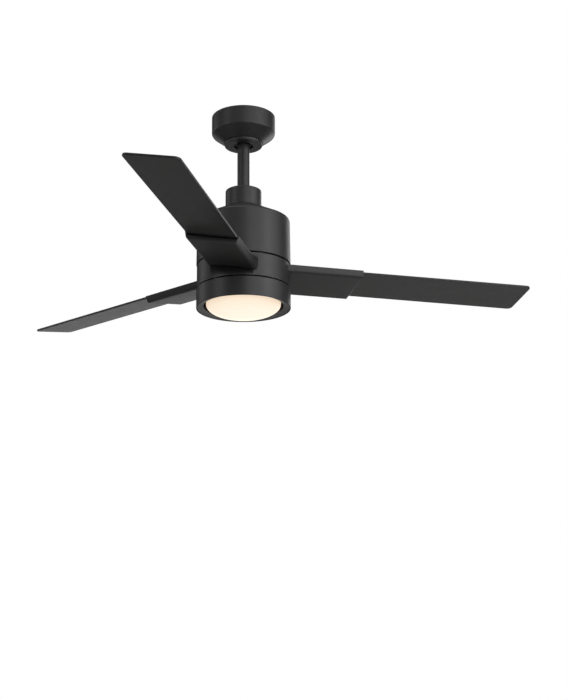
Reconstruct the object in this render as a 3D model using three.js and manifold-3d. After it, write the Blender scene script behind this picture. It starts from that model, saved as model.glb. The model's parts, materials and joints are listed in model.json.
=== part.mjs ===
// Ceiling fan with light: a ball-hung downrod carries a drum housing, an outer-rotor motor turns
// a band with three pitched blades, and a twist-off opal diffuser closes the light below.
// Millimetres. The origin is the middle of the hanger bracket's top face, on the ceiling, +Z up,
// so the whole fan hangs at negative z.
import * as THREE from "three";
import { mergeVertices } from "three/addons/utils/BufferGeometryUtils.js";
import Module from "manifold-3d";

const wasm = await Module();
wasm.setup();

// ---------------------------------------------------------------- driving dimensions
const GAP = 0.3; // clearance between pieces that touch
const WALL = 1.6; // pressed and cast shells
const GROOVE = 2.7; // shadow gap above and below the turning band

const BRACKET = { length: 110, width: 44, sheet: 2.5, legX: 36.5, cradleTop: -50.5, cradleHole: 17 };
const OUTLET_SCREW_SPACING = 88.9;
const CANOPY = { radius: 70.3, top: -0.8, cylinderBottom: -41, coneBottom: -62, lip: 43, hole: 24 };
const CANOPY_SCREW_X = 32;
const TRIM = { radius: 41.7, hole: 21.5, height: 6 };
const BALL_RADIUS = 22;
const ROD = { radius: 13.5, bore: 10.9, top: -22, bottom: -203.5 };
const COUPLING = { radius: 39.5, top: -175.5, bottom: -215.7 };
const HOUSING = { shoulderTop: -216, rimZ: -247.5, topRadius: 101.3, bottomRadius: 102.2, bottom: -347.6 };
const YOKE = { radius: 20, top: -186, seat: -204, flangeTop: -219, flangeBottom: -224, flange: 36 };
const HOUSING_SCREW_CIRCLE = 30;
const SHAFT = { radius: 8, bore: 5, top: -205, bottom: -416 };
const DRUM = { radius: 88, inner: 85, top: -268, bottom: -351.7 };
const BEARING = { outer: 17, height: 9, upperTop: -272, lowerTop: -347 };
const STATOR = { teeth: 12, tip: 80, shoe: 74, hub: 34, toothWidth: 13, top: -300, bottom: -320 };
const COIL = { halfWidth: 11, overhang: 7, inset: 2, short: 4 }; // inset into the hub, short of the shoes
const MAGNET = { inner: 81.5, outer: 84.7, top: -297, bottom: -323 };
const ROTOR_COVER = { radius: 97.5, top: -352, bottom: -356.5 };
const BAND = { radius: 101, top: HOUSING.bottom - GROOVE, height: 50.4, lip: 91 };
const LOWER_RING = { radius: 101.9, height: 41.8, flangeTop: -409, flange: 88, flangeHole: 93 };
const LIGHT_PLATE = { radius: 99.2, top: -405.5, bottom: -408.5 };
const HEATSINK = { radius: 76, top: -409, floorTop: -419.5, floorBottom: -421.5 };
const LED_BOARD = { radius: 70, top: -421.9, bottom: -423.4 };
const PAN = { radius: 99.4, top: -411.6, bottom: -444.6, sheet: 1.5, hole: 86.2, holeZ: -440, collar: 87.7 };
const SHELF = { inner: 81.2, notch: 84.4, top: -431.5, bottom: -433 }; // carries the diffuser's lugs
const DIFFUSER = { radius: 80.5, skirtTop: -424, equator: -436.2, drop: 27.8, wall: 2.4, lug: 83.7 };
const LUG_HEIGHT = 2.4;
const TWIST_DEG = 25; // turn that frees the diffuser

const BLADES = 3;
const FIRST_BLADE_DEG = 15.84;
const BLADE = { tip: 660.4, root: 150, tipWidth: 109.4, rootWidth: 105.4, thickness: 4.5, corner: 11 };
const BLADE_PLANE = -371; // underside of the blades where it meets the fan's axis
const PITCH_DEG = 10.3;
const RISE_DEG = 0.44;
// The arm's section across the blade: `high` and `low` are its two sides at the top, measured from
// the middle, and the feet are their lower ends. Its lower edges roll into the flat underside.
const ARM = {
  end: 255.4, skewDeg: 1, high: 58.5, low: 55.2, footHigh: 53, footLow: 51.5, below: 10.6, lip: 5.5,
};
const ARM_ROLL = 5;
const ARM_LOW_TOP = { atHub: 2, hubX: 90 }; // the low side's top edge falls towards the band
const ARM_RELIEF = { depth: 2.2, length: 6 }; // shadow gap under the blade at the arm's outer end
const ARM_NOSE = { radius: 11, reach: 94 }; // rounded corner where the low side runs into the band
const ARM_FLANGE = { inner: 52, halfWidth: 30, top: ROTOR_COVER.bottom - GAP, bottom: -362, webBottom: -375 };
const ARM_SCREWS = [[70, -18], [70, 18]];
const BLADE_SCREWS = [[172, -28], [172, 28], [228, 0]];

const FINE = 32; // sides of the large visible rounds
const MEDIUM = 24;
const COARSE = 8;

const LOWER_RING_TOP = BAND.top - BAND.height - GROOVE;
const LOWER_RING_BOTTOM = LOWER_RING_TOP - LOWER_RING.height;
const BALL_Z = BRACKET.cradleTop + Math.sqrt(BALL_RADIUS ** 2 - BRACKET.cradleHole ** 2) + GAP;
const TRIM_TOP = CANOPY.coneBottom - GAP;

// ---------------------------------------------------------------- materials
const finish = (color, roughness, metalness) =>
  new THREE.MeshStandardMaterial({ color, roughness, metalness });
const blackPaint = finish(0x2b2b2c, 0.55, 0.2);
const armPaint = finish(0x2b2b2c, 0.5, 0.3);
const bladeBlack = finish(0x262627, 0.6, 0);
const zincSteel = finish(0xb9bcc0, 0.38, 1);
const blackScrew = finish(0x1d1d1e, 0.4, 0.6);
const aluminium = finish(0xa9acb0, 0.45, 1);
const bearingSteel = finish(0xd5d7da, 0.2, 1);
const lamination = finish(0x55575b, 0.5, 1);
const copper = finish(0xb2602f, 0.35, 1);
const ferrite = finish(0x34343a, 0.7, 0.1);
const blackPlastic = finish(0x1b1b1c, 0.6, 0);
const whiteBoard = finish(0xf1f1ec, 0.5, 0);
const opal = finish(0xfff4e0, 0.35, 0);
opal.emissive = new THREE.Color(0xffe6c4);

// ---------------------------------------------------------------- solids and booleans
function toSolid(geometry) {
  const bare = geometry.clone();
  bare.deleteAttribute("normal");
  bare.deleteAttribute("uv");
  const merged = mergeVertices(bare, 1e-4);
  const index = [];
  for (let i = 0; i < merged.index.count; i += 3) {
    const [a, b, c] = [0, 1, 2].map((k) => merged.index.getX(i + k));
    if (a !== b && b !== c && c !== a) index.push(a, b, c);
  }
  const mesh = new wasm.Mesh({
    numProp: 3,
    vertProperties: new Float32Array(merged.attributes.position.array),
    triVerts: new Uint32Array(index),
  });
  return new wasm.Manifold(mesh);
}

function toGeometry(solid) {
  const mesh = solid.getMesh();
  const geometry = new THREE.BufferGeometry();
  geometry.setAttribute("position", new THREE.BufferAttribute(new Float32Array(mesh.vertProperties), 3));
  geometry.setIndex(new THREE.BufferAttribute(new Uint32Array(mesh.triVerts), 1));
  return geometry;
}

function join(...pieces) {
  return toGeometry(pieces.map(toSolid).reduce((all, piece) => all.add(piece)));
}

function cut(base, ...tools) {
  return toGeometry(tools.map(toSolid).reduce((left, tool) => left.subtract(tool), toSolid(base)));
}

function keepInside(base, mould) {
  return toGeometry(toSolid(base).intersect(toSolid(mould)));
}

// A profile of [radius, z] corners turned about the Z axis.
function turned(profile, sides) {
  const closed = profile[0][0] === 0 ? profile : [...profile, profile[0]];
  const points = closed.map(([r, z]) => new THREE.Vector2(r, z));
  return new THREE.LatheGeometry(points, sides).rotateX(Math.PI / 2);
}

// A ring of rectangular section between two radii.
function ring(inner, outer, bottom, top, sides) {
  return turned([[inner, bottom], [outer, bottom], [outer, top], [inner, top]], sides);
}

function cylinder(radius, bottom, top, sides, x = 0, y = 0) {
  const geometry = new THREE.CylinderGeometry(radius, radius, top - bottom, sides);
  return geometry.rotateX(Math.PI / 2).translate(x, y, (bottom + top) / 2);
}

function box(x, y, z) {
  const geometry = new THREE.BoxGeometry(x[1] - x[0], y[1] - y[0], z[1] - z[0]);
  return geometry.translate((x[0] + x[1]) / 2, (y[0] + y[1]) / 2, (z[0] + z[1]) / 2);
}

function slab(outline, bottom, top, curveSegments = 6) {
  const options = { depth: top - bottom, bevelEnabled: false, curveSegments };
  return new THREE.ExtrudeGeometry(outline, options).translate(0, 0, bottom);
}

// The corner of a turned profile, rounded with an arc from angle `from` to `to` in degrees.
function arc(r, z, radius, from, to, steps) {
  const points = [];
  for (let i = 0; i <= steps; i += 1) {
    const angle = THREE.MathUtils.degToRad(from + ((to - from) * i) / steps);
    points.push([r + radius * Math.cos(angle), z + radius * Math.sin(angle)]);
  }
  return points;
}

// A pan-head screw pointing down, its head resting on z = 0.
function screw(headRadius, headHeight, shankRadius, length) {
  const profile = [
    [0, -length], [shankRadius, -length], [shankRadius, 0],
    [headRadius, 0], [headRadius * 0.8, headHeight], [0, headHeight],
  ];
  return turned(profile, COARSE);
}

const fan = new THREE.Group();

function add(name, geometry, material, parent = fan) {
  const mesh = new THREE.Mesh(geometry, material);
  mesh.name = name;
  parent.add(mesh);
  return mesh;
}

// ---------------------------------------------------------------- ceiling end
function hangerBracket() {
  const { length, width, sheet, legX, cradleTop, cradleHole } = BRACKET;
  const y = [-width / 2, width / 2];
  const cradleBottom = cradleTop - sheet;
  const strap = join(
    box([-length / 2, length / 2], y, [-sheet, 0]),
    box([legX, legX + sheet], y, [cradleBottom, 0]),
    box([-legX - sheet, -legX], y, [cradleBottom, 0]),
    box([-legX - sheet, legX + sheet], y, [cradleBottom, cradleTop]),
    // the tab that keys the ball, so the fan tilts but can't turn
    box([BALL_RADIUS - 2.5, legX + 1], [-2.5, 2.5], [BALL_Z - 2, BALL_Z + 2]),
  );
  const slotX = OUTLET_SCREW_SPACING / 2;
  const holes = [cylinder(cradleHole, cradleBottom - 1, cradleTop + 1, MEDIUM)];
  for (const side of [-1, 1]) {
    holes.push(cylinder(12, -sheet - 1, 1, 24, side * 21, 0));
    holes.push(box([side * slotX - 2.4, side * slotX + 2.4], [-5, 5], [-sheet - 1, 1]));
    holes.push(cylinder(2.4, cradleBottom - 1, cradleTop + 1, COARSE, side * CANOPY_SCREW_X, 0));
  }
  return cut(strap, ...holes);
}

function canopy() {
  const { radius, top, cylinderBottom, coneBottom, lip, hole } = CANOPY;
  const slope = THREE.MathUtils.radToDeg(Math.atan2(cylinderBottom - coneBottom, radius - lip));
  const edge = 5;
  const shell = turned([
    [hole, coneBottom], [lip, coneBottom],
    ...arc(radius - edge, cylinderBottom + 0.5, edge, slope - 90, 0, 3),
    [radius, top], [radius - WALL, top],
    ...arc(radius - edge, cylinderBottom + 0.5, edge - WALL, 0, slope - 90, 2),
    [lip - 0.6, coneBottom + WALL], [hole, coneBottom + WALL],
  ], FINE);
  const holes = [-1, 1].map((side) =>
    cylinder(2.4, coneBottom - 1, coneBottom + WALL + 1, COARSE, side * CANOPY_SCREW_X, 0));
  return cut(shell, ...holes);
}

function canopyTrimRing() {
  const bottom = TRIM_TOP - TRIM.height;
  return turned([
    [TRIM.hole, bottom], [TRIM.radius - 1, bottom], [TRIM.radius, bottom + 1], [TRIM.radius, TRIM_TOP],
    [TRIM.radius - 2, TRIM_TOP], [TRIM.radius - 2, bottom + WALL], [TRIM.hole, bottom + WALL],
  ], FINE);
}

function receiverModule() {
  const legFace = BRACKET.legX + BRACKET.sheet + GAP;
  const outline = new THREE.Shape();
  const [near, far, half, corner] = [legFace, 62, 24, 3];
  outline.moveTo(near, -half);
  outline.lineTo(far - corner, -half);
  outline.absarc(far - corner, -half + corner, corner, -Math.PI / 2, 0);
  outline.lineTo(far, half - corner);
  outline.absarc(far - corner, half - corner, corner, 0, Math.PI / 2);
  outline.lineTo(near, half);
  return slab(outline, -37, -8, 3);
}

add("hanger_bracket", hangerBracket(), zincSteel);
add("canopy", canopy(), blackPaint);
add("canopy_trim_ring", canopyTrimRing(), blackPaint);
add("receiver_module", receiverModule(), blackPlastic);
for (const [i, side] of [-1, 1].entries()) {
  // driven upwards, with the head under the canopy's lip
  const fastener = add(`canopy_screw_${i + 1}`, screw(4, 2.2, 2, 15), zincSteel);
  fastener.rotation.x = Math.PI;
  fastener.position.set(side * CANOPY_SCREW_X, 0, CANOPY.coneBottom - GAP);
}

// ---------------------------------------------------------------- downrod and its two ends
const BALL_PIN_Z = -30;
const YOKE_PIN_Z = -195;

function crossPin(radius, halfLength, z) {
  const pin = new THREE.CylinderGeometry(radius, radius, 2 * halfLength, COARSE);
  return pin.translate(0, 0, z);
}

function hangerBall() {
  const profile = [];
  const bore = ROD.radius + 0.4;
  const reach = THREE.MathUtils.radToDeg(Math.acos(bore / BALL_RADIUS));
  profile.push(...arc(0, BALL_Z, BALL_RADIUS, -reach, reach, 8));
  const ball = turned(profile, MEDIUM);
  const keyHole = new THREE.CylinderGeometry(3.8, 3.8, 10, 16).rotateZ(Math.PI / 2);
  keyHole.translate(BALL_RADIUS + 1.5, 0, BALL_Z);
  return cut(ball, keyHole, crossPin(3.3, BALL_RADIUS, BALL_PIN_Z));
}

function downrod() {
  const tube = ring(ROD.bore, ROD.radius, ROD.bottom, ROD.top, MEDIUM);
  return cut(tube, crossPin(3.3, 20, BALL_PIN_Z), crossPin(3.3, 20, YOKE_PIN_Z));
}

function yokeCollar() {
  const { radius, top, seat, flangeTop, flangeBottom, flange } = YOKE;
  const bore = ROD.radius + GAP;
  const shaftBore = SHAFT.radius + GAP;
  const body = turned([
    [shaftBore, flangeBottom], [flange, flangeBottom], [flange, flangeTop], [radius, flangeTop],
    [radius, top], [bore, top], [bore, seat], [shaftBore, seat],
  ], MEDIUM);
  const tapped = new THREE.CylinderGeometry(2.8, 2.8, 12, COARSE).rotateZ(Math.PI / 2);
  const holes = [crossPin(3.3, 30, YOKE_PIN_Z), tapped.translate(18, 0, YOKE_PIN_Z)];
  for (const [x, y] of onCircle(HOUSING_SCREW_CIRCLE, 3, 90)) {
    holes.push(cylinder(2.3, flangeBottom - 1, flangeTop + 1, COARSE, x, y));
  }
  return cut(body, ...holes);
}

function onCircle(radius, count, startDeg) {
  return Array.from({ length: count }, (_, i) => {
    const angle = THREE.MathUtils.degToRad(startDeg + (360 * i) / count);
    return [radius * Math.cos(angle), radius * Math.sin(angle)];
  });
}

function couplingCover() {
  const { radius, top, bottom } = COUPLING;
  const hole = ROD.radius + 0.7;
  const edge = 2;
  return turned([
    [radius - WALL, bottom], [radius, bottom],
    ...arc(radius - edge, top - edge, edge, 0, 90, 3),
    [hole, top], [hole, top - WALL], [radius - WALL, top - WALL],
  ], FINE);
}

// The motor and light leads in their sleeve: beside the two pins, then down the shaft's bore.
function leadSleeve() {
  const beside = -5.7;
  const route = [
    [beside, -12], [beside, -100], [beside, -190], [beside, -198], [beside / 2, -205], [0, -213], [0, -300],
    [0, -412],
  ];
  const path = new THREE.CatmullRomCurve3(route.map(([x, z]) => new THREE.Vector3(x, 0, z)));
  const section = new THREE.Shape();
  section.absarc(0, 0, 2, 0, 2 * Math.PI);
  return new THREE.ExtrudeGeometry(section, { steps: 32, extrudePath: path, curveSegments: 3 });
}

// A hairpin-like clip in the groove at the clevis pin's free end.
function clevisClip() {
  const clip = ring(3.4, 6.2, -0.6, 0.6, COARSE);
  const mouth = box([-2.4, 2.4], [2, 8], [-1, 1]);
  return cut(clip, mouth);
}

function clevisPin() {
  const [shank, half, head] = [3, 24, 4.6];
  return turned([
    [0, -half], [shank, -half], [shank, half], [head, half], [head, half + 2], [0, half + 2],
  ], COARSE).rotateX(-Math.PI / 2);
}

add("hanger_ball", hangerBall(), blackPlastic);
add("ball_pin", crossPin(3, 18, BALL_PIN_Z), zincSteel);
add("downrod", downrod(), blackPaint);
add("lead_sleeve", leadSleeve(), blackPlastic);
add("yoke_collar", yokeCollar(), zincSteel);
add("clevis_pin", clevisPin(), zincSteel).position.z = YOKE_PIN_Z;
const clip = add("clevis_clip", clevisClip(), zincSteel);
clip.rotation.x = Math.PI / 2;
clip.position.set(0, -22.5, YOKE_PIN_Z);
const grub = new THREE.CylinderGeometry(2.5, 2.5, 9, COARSE).rotateZ(Math.PI / 2);
add("set_screw", grub, zincSteel).position.set(ROD.radius + GAP + 4.5, 0, YOKE_PIN_Z);
add("coupling_cover", couplingCover(), blackPaint);

// ---------------------------------------------------------------- housing and motor
function upperHousing() {
  const { shoulderTop, rimZ, topRadius, bottomRadius, bottom } = HOUSING;
  const hole = YOKE.radius + 2;
  const edge = 4;
  const slope = THREE.MathUtils.radToDeg(Math.atan2(shoulderTop - rimZ, topRadius - COUPLING.radius));
  const shell = turned([
    [bottomRadius, bottom],
    ...arc(topRadius - edge, rimZ - edge, edge, 0, 90 - slope, 3),
    [COUPLING.radius, shoulderTop], [hole, shoulderTop], [hole, shoulderTop - WALL],
    [COUPLING.radius, shoulderTop - WALL],
    ...arc(topRadius - edge, rimZ - edge, edge - WALL, 90 - slope, 0, 1),
    [bottomRadius - WALL, bottom],
  ], FINE);
  const holes = onCircle(HOUSING_SCREW_CIRCLE, 3, 90).map(([x, y]) =>
    cylinder(2.3, shoulderTop - WALL - 1, shoulderTop + 1, COARSE, x, y));
  return cut(shell, ...holes);
}

// Teeth with wide shoes round a hub. `clearance` grows the outline, to cut room for it in the coils.
function statorOutline(clearance) {
  const { teeth, tip, shoe, hub, toothWidth } = STATOR;
  const step = (2 * Math.PI) / teeth;
  const half = toothWidth / 2 + clearance;
  const shoeHalf = step * 0.43;
  const flank = [
    [hub + clearance, Math.asin(half / hub)], [shoe - clearance, Math.asin(half / shoe)],
    [shoe - clearance, shoeHalf], [tip, shoeHalf],
  ];
  const corners = [];
  for (let tooth = 0; tooth < teeth; tooth += 1) {
    const middle = tooth * step;
    const rising = flank.map(([r, a]) => [r, middle - a]);
    const falling = flank.toReversed().map(([r, a]) => [r, middle + a]);
    corners.push(...rising, [tip, middle], ...falling);
  }
  return new THREE.Shape(corners.map(([r, a]) => new THREE.Vector2(r * Math.cos(a), r * Math.sin(a))));
}

function statorCore() {
  const { top, bottom } = STATOR;
  const bore = cylinder(SHAFT.radius + GAP, bottom - 1, top + 1, 24);
  return cut(slab(statorOutline(0), bottom, top), bore);
}

function statorWindings() {
  const { teeth, top, bottom, hub, shoe } = STATOR;
  const { halfWidth, overhang, inset, short } = COIL;
  const coils = [];
  for (let tooth = 0; tooth < teeth; tooth += 1) {
    const along = [hub - inset, shoe - short];
    const block = box(along, [-halfWidth, halfWidth], [bottom - overhang, top + overhang]);
    coils.push(block.rotateZ((tooth * 2 * Math.PI) / teeth));
  }
  const core = slab(statorOutline(GAP), bottom - GAP, top + GAP);
  const hubHole = cylinder(hub + 1, bottom - overhang - 1, top + overhang + 1, MEDIUM);
  return cut(join(...coils), core, hubHole);
}

function rotorDrum() {
  const { radius, inner, top, bottom } = DRUM;
  const seat = BEARING.outer + GAP;
  const roof = top - 3;
  return turned([
    [seat, roof - 11], [seat + 4, roof - 11], [seat + 4, roof], [inner, roof], [inner, bottom],
    [radius, bottom], [radius, top - 3], [radius - 3, top], [seat, top],
  ], FINE);
}

function rotorCover() {
  const { radius, top, bottom } = ROTOR_COVER;
  const seat = BEARING.outer + GAP;
  const disc = turned([
    [seat, bottom], [radius, bottom], [radius, top], [seat + 4, top], [seat + 4, top + 5], [seat, top + 5],
  ], FINE);
  const holes = [];
  for (let blade = 0; blade < BLADES; blade += 1) {
    for (const [s, across] of ARM_SCREWS) {
      holes.push(cylinder(2.6, bottom - 1, top + 1, COARSE, s, across).rotateZ(bladeAngle(blade)));
    }
  }
  return cut(disc, ...holes);
}

function bearing(top) {
  const [inner, outer, bottom, c] = [SHAFT.radius + GAP, BEARING.outer, top - BEARING.height, 0.8];
  return turned([
    [inner, bottom], [outer - c, bottom], [outer, bottom + c],
    [outer, top - c], [outer - c, top], [inner, top],
  ], MEDIUM);
}

add("upper_housing", upperHousing(), blackPaint);
for (const [i, [x, y]] of onCircle(HOUSING_SCREW_CIRCLE, 3, 90).entries()) {
  const fastener = add(`housing_screw_${i + 1}`, screw(4, 2.2, 2, 9), zincSteel);
  fastener.position.set(x, y, HOUSING.shoulderTop + GAP);
}
add("motor_shaft", ring(SHAFT.bore, SHAFT.radius, SHAFT.bottom, SHAFT.top, 24), zincSteel);
add("stator_core", statorCore(), lamination);
add("stator_windings", statorWindings(), copper);
add("rotor_drum", rotorDrum(), aluminium);
add("magnet_ring", ring(MAGNET.inner, MAGNET.outer, MAGNET.bottom, MAGNET.top, FINE), ferrite);
add("upper_bearing", bearing(BEARING.upperTop), bearingSteel);
add("lower_bearing", bearing(BEARING.lowerTop), bearingSteel);
add("rotor_cover", rotorCover(), aluminium);

// ---------------------------------------------------------------- blades and arms
function bladeAngle(blade) {
  return THREE.MathUtils.degToRad(FIRST_BLADE_DEG + (360 * blade) / BLADES);
}

// Tilts a piece drawn flat along +X, with z = 0 as the blade's underside, to its pitch and rise.
function pitched(geometry) {
  const pitch = new THREE.Matrix4().makeRotationX(-THREE.MathUtils.degToRad(PITCH_DEG));
  const rise = new THREE.Matrix4().makeRotationY(-THREE.MathUtils.degToRad(RISE_DEG));
  const lift = new THREE.Matrix4().makeTranslation(0, 0, BLADE_PLANE);
  return geometry.applyMatrix4(lift.multiply(rise).multiply(pitch));
}

function bladeHalfWidth(s) {
  return THREE.MathUtils.mapLinear(s, BLADE.root, BLADE.tip, BLADE.rootWidth, BLADE.tipWidth) / 2;
}

function blade() {
  const { root, tip, corner, thickness } = BLADE;
  const [near, far] = [bladeHalfWidth(root), bladeHalfWidth(tip)];
  const outline = new THREE.Shape();
  outline.moveTo(root, -near);
  outline.lineTo(tip - corner, -far);
  outline.absarc(tip - corner, -far + corner, corner, -Math.PI / 2, 0);
  outline.lineTo(tip, far - corner);
  outline.absarc(tip - corner, far - corner, corner, 0, Math.PI / 2);
  outline.lineTo(root, near);
  const holes = BLADE_SCREWS.map(([s, across]) => cylinder(2.6, -1, thickness + 1, COARSE, s, across));
  return pitched(cut(slab(outline, 0, thickness), ...holes));
}

// Draws a corner of an outline as a curve that starts and ends `reach` away from it.
function softCorner(outline, before, corner, after, reach) {
  const [a, b, c] = [before, corner, after].map(([x, y]) => new THREE.Vector2(x, y));
  const start = a.clone().sub(b).setLength(reach).add(b);
  const end = c.clone().sub(b).setLength(reach).add(b);
  outline.lineTo(start.x, start.y);
  outline.quadraticCurveTo(b.x, b.y, end.x, end.y);
}

// The arm's section as [y, z], `grow` larger on every side.
function armSection(grow) {
  const { high, low, footHigh, footLow, below, lip } = ARM;
  const top = lip + grow;
  const bottom = -below - grow;
  const corners = [
    [-high - grow, top], [-footHigh - grow, bottom], [footLow + grow, bottom], [low + grow, top],
  ];
  const outline = new THREE.Shape();
  outline.moveTo(...corners[0]);
  softCorner(outline, corners[0], corners[1], corners[2], ARM_ROLL);
  softCorner(outline, corners[1], corners[2], corners[3], ARM_ROLL);
  outline.lineTo(...corners[3]);
  return outline;
}

// The arm's plate, drawn like the blade: +X outwards, the blade's underside at z = 0, the low
// side at +Y. `clearance` grows it, for the slot it passes through.
function armPlate(clearance) {
  const { end, skewDeg, high, low, below, lip } = ARM;
  const start = 60;
  const spare = 10;
  // an extrusion along +Z, laid down so that it runs along +X
  const beam = slab(armSection(clearance), start, end + spare, 3).rotateX(Math.PI / 2).rotateZ(Math.PI / 2);
  const { radius, reach } = ARM_NOSE;
  const plan = new THREE.Shape();
  plan.moveTo(start, -high - spare);
  plan.lineTo(end + spare, -high - spare);
  plan.lineTo(end + spare, low + spare);
  plan.lineTo(reach, low + spare);
  plan.lineTo(reach, low + clearance);
  plan.absarc(reach, low - radius, radius + clearance, Math.PI / 2, Math.PI);
  plan.lineTo(start, low - radius);
  const side = new THREE.Shape();
  side.moveTo(start - spare, -below - spare);
  side.lineTo(start - spare, lip + spare);
  side.lineTo(end, lip + spare);
  softCorner(side, [end, lip + spare], [end, -below], [start, -below], ARM_ROLL);
  side.lineTo(end - 2 * ARM_ROLL, -below - spare);
  const ends = slab(side, -high - spare, high + spare, 3).rotateX(Math.PI / 2);
  ends.rotateZ(THREE.MathUtils.degToRad(skewDeg));
  return keepInside(keepInside(beam, slab(plan, -below - spare, lip + spare)), ends);
}

// The wedge cut from the arm's low side, so that its top edge falls towards the band.
function armTopCut() {
  const { end, lip, high } = ARM;
  const { atHub, hubX } = ARM_LOW_TOP;
  const wedge = new THREE.Shape();
  wedge.moveTo(0, atHub);
  wedge.lineTo(hubX, atHub);
  wedge.lineTo(end, lip);
  wedge.lineTo(end, lip + 10);
  wedge.lineTo(0, lip + 10);
  return slab(wedge, -high - 10, -20, 1).rotateX(Math.PI / 2);
}

function bladeArm() {
  const { top, bottom, webBottom, inner, halfWidth } = ARM_FLANGE;
  const pocketHalf = bladeHalfWidth(ARM.end) + GAP;
  const pocket = box([BLADE.root - 0.5, ARM.end + 10], [-pocketHalf, pocketHalf], [-GAP, ARM.lip + 5]);
  const reliefX = [ARM.end - ARM_RELIEF.length, ARM.end + 10];
  const relief = box(reliefX, [-pocketHalf, pocketHalf], [-ARM_RELIEF.depth, 0]);
  const pilotHoles = BLADE_SCREWS.map(([s, across]) => cylinder(2.5, -8, 5, COARSE, s, across));
  const plate = pitched(cut(armPlate(0), armTopCut(), pocket, relief, ...pilotHoles));
  const insideBand = BAND.radius - WALL - 0.9;
  const outside = cut(plate, cylinder(insideBand - 0.6, -420, -330, FINE));
  const across = [-halfWidth, halfWidth];
  const root = join(
    box([inner, insideBand], across, [bottom, top]),
    box([88, insideBand], across, [webBottom, top]),
  );
  const trimmed = keepInside(root, cylinder(insideBand - 0.1, -420, -330, FINE));
  const holes = ARM_SCREWS.map(([s, y]) => cylinder(2.6, bottom - 1, top + 1, COARSE, s, y));
  return cut(join(outside, trimmed), ...holes);
}

function hubBand() {
  const { radius, top, height, lip } = BAND;
  const inner = radius - WALL;
  const shell = turned([
    [inner, top - height], [radius, top - height], [radius, top],
    [lip, top], [lip, top - 1.3], [inner, top - 1.3],
  ], FINE);
  const slots = [];
  for (let i = 0; i < BLADES; i += 1) {
    slots.push(pitched(armPlate(0.5)).rotateZ(bladeAngle(i)));
  }
  return cut(shell, ...slots);
}

add("hub_band", hubBand(), blackPaint);
for (let i = 0; i < BLADES; i += 1) {
  const turn = new THREE.Group();
  turn.rotation.z = bladeAngle(i);
  fan.add(turn);
  add(`blade_arm_${i + 1}`, bladeArm(), armPaint, turn);
  add(`blade_${i + 1}`, blade(), bladeBlack, turn);
  for (const [k, [s, across]] of BLADE_SCREWS.entries()) {
    const fastener = pitched(screw(5.2, 2.4, 2.1, 11).translate(s, across, BLADE.thickness + GAP));
    add(`blade_screw_${i + 1}_${k + 1}`, fastener, blackScrew, turn);
  }
  for (const [k, [s, across]] of ARM_SCREWS.entries()) {
    // driven upwards through the arm's flange into the rotor cover
    const fastener = screw(4.2, 2.6, 2.2, 10).rotateX(Math.PI).translate(s, across, ARM_FLANGE.bottom - GAP);
    add(`arm_screw_${i + 1}_${k + 1}`, fastener, zincSteel, turn);
  }
}

// ---------------------------------------------------------------- light
function lightPlate() {
  const disc = ring(SHAFT.radius + GAP, LIGHT_PLATE.radius, LIGHT_PLATE.bottom, LIGHT_PLATE.top, FINE);
  const holes = onCircle(LOWER_RING.flangeHole, 3, 30).map(([x, y]) =>
    cylinder(2.3, LIGHT_PLATE.bottom - 1, LIGHT_PLATE.top + 1, COARSE, x, y));
  return cut(disc, ...holes);
}

function lowerRing() {
  const { radius, flangeTop, flange, flangeHole } = LOWER_RING;
  const inner = radius - 2.2;
  const shell = turned([
    [inner, LOWER_RING_BOTTOM], [radius - 0.6, LOWER_RING_BOTTOM], [radius, LOWER_RING_BOTTOM + 0.6],
    [radius, LOWER_RING_TOP], [inner, LOWER_RING_TOP], [inner, flangeTop], [flange, flangeTop],
    [flange, flangeTop - 2], [inner, flangeTop - 2],
  ], FINE);
  const holes = onCircle(flangeHole, 3, 30).map(([x, y]) =>
    cylinder(2.3, flangeTop - 3, flangeTop + 1, COARSE, x, y));
  return cut(shell, ...holes);
}

function shaftNut() {
  const outline = new THREE.Shape();
  onCircle(13, 6, 0).forEach(([x, y], i) => (i ? outline.lineTo(x, y) : outline.moveTo(x, y)));
  return cut(slab(outline, -415, -408.8), cylinder(SHAFT.radius + GAP, -416, -408, 24));
}

function heatsink() {
  const { radius, top, floorTop, floorBottom } = HEATSINK;
  return turned([
    [6, floorBottom], [radius, floorBottom], [radius, top], [radius - 1.5, top], [radius - 1.5, floorTop],
    [6, floorTop],
  ], FINE);
}

// A cup whose floor starts flush with the ring and rises a little to its hole; a collar round the
// hole ends in the notched shelf.
function lightPan() {
  const { radius, top, bottom, sheet, hole, holeZ, collar } = PAN;
  const dish = turned([
    [hole, holeZ], [radius, bottom], [radius, top], [radius - sheet, top],
    [radius - sheet, bottom + sheet], [collar, holeZ + sheet], [collar, SHELF.top],
    [SHELF.inner, SHELF.top], [SHELF.inner, SHELF.bottom], [hole, SHELF.bottom],
  ], FINE);
  const notches = lugArcs(SHELF.inner - 3, SHELF.notch, SHELF.bottom - 1, SHELF.top + 1, 24, TWIST_DEG);
  return cut(dish, ...notches);
}

// Three short arcs of a ring, 120 degrees apart, `spread` degrees wide.
function lugArcs(inner, outer, bottom, top, spread, startDeg) {
  return [0, 1, 2].map((i) => {
    const middle = THREE.MathUtils.degToRad(startDeg + 120 * i);
    const half = THREE.MathUtils.degToRad(spread / 2);
    const outline = new THREE.Shape();
    outline.absarc(0, 0, outer, middle - half, middle + half);
    outline.absarc(0, 0, inner, middle + half, middle - half, true);
    return slab(outline, bottom, top, 4);
  });
}

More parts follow.
